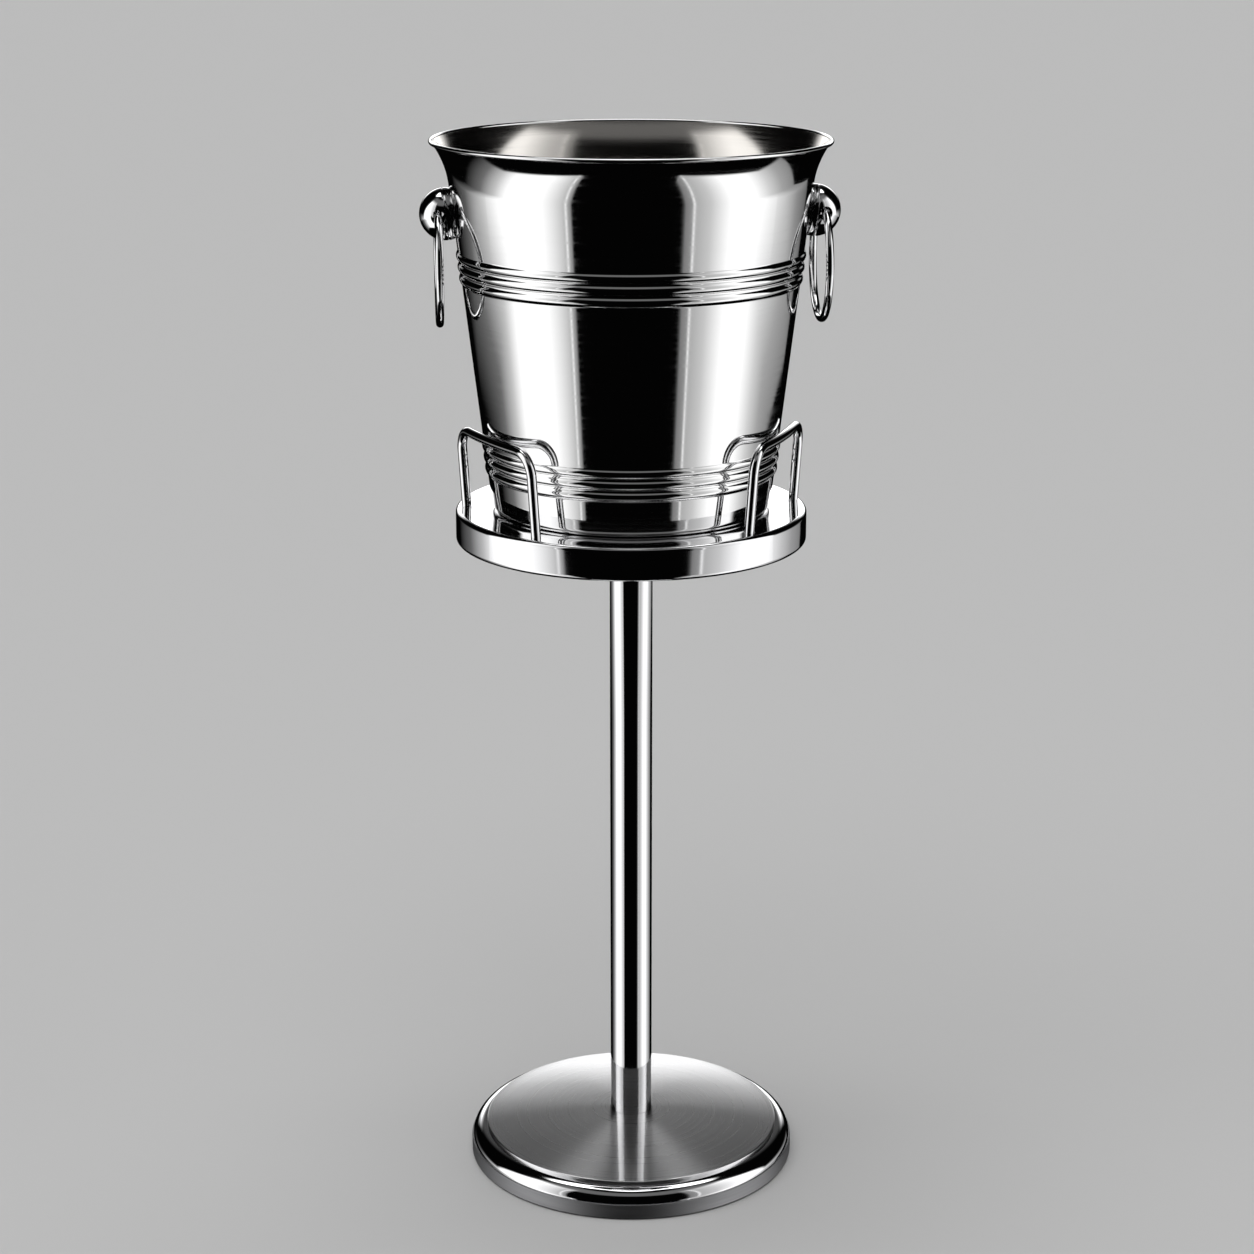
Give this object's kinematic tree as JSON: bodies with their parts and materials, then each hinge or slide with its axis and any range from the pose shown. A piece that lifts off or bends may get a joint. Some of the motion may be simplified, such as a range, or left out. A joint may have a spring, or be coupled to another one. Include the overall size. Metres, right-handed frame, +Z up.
{
  "type": "champagne bucket stand",
  "caption": "Floor stand with a weighted round base, a tube post and a round tray with rod retainers, holding a tapered ribbed bucket with ring handles.",
  "frame": {"origin": "on the floor, under the middle of the base", "axes": "+Z up along the post, the two knobs and rings on the X axis, the open front between the two side retainers towards -Y"},
  "size_m": [0.2406, 0.2288, 0.625],
  "materials": {
    "polished_steel": "mirror polished stainless steel",
    "bucket_steel": "polished outside, brushed inside",
    "base_steel": "disc brushed in circles, polished shoulder",
    "hub_steel": "turned",
    "plated_steel": "zinc plated",
    "cast_iron": "as cast",
    "black_plate": "matt black",
    "rubber": "matt"
  },
  "bodies": {
    "stand": {"base_cover": "base_steel", "base_weight": "cast_iron", "bottom_plate": "black_plate", "foot_ring": "rubber", "base_washer": "plated_steel", "base_bolt": "plated_steel", "post_tube": "polished_steel", "post_plug_lower": "plated_steel", "post_plug_upper": "plated_steel", "tray": "polished_steel", "tray_hub": "hub_steel", "tray_screw": "plated_steel", "retainer_washers": "plated_steel", "retainer_nuts": "plated_steel", "retainer_left": "polished_steel", "retainer_right": "polished_steel", "retainer_back": "polished_steel"},
    "bucket": {"bucket_shell": "bucket_steel", "knob_base_left": "polished_steel", "knob_dome_left": "polished_steel", "knob_screw_left": "plated_steel", "knob_washer_left": "plated_steel", "knob_base_right": "polished_steel", "knob_dome_right": "polished_steel", "knob_screw_right": "plated_steel", "knob_washer_right": "plated_steel"},
    "left_ring": {"handle_ring_left": "polished_steel"},
    "right_ring": {"handle_ring_right": "polished_steel"}
  },
  "joints": [
    {"name": "bucket_lift", "type": "slide", "parent": "stand", "child": "bucket", "axis": [0, 0, 1], "range_m": [0, 0.25]},
    {"name": "left_ring_swing", "type": "hinge", "parent": "bucket", "child": "left_ring", "pos_m": [-0.10976, 0, 0.58272], "axis": [0, 1, 0], "range_deg": [-12, 174]},
    {"name": "right_ring_swing", "type": "hinge", "parent": "bucket", "child": "right_ring", "pos_m": [0.10976, 0, 0.58272], "axis": [0, -1, 0], "range_deg": [-12, 174]}
  ]
}
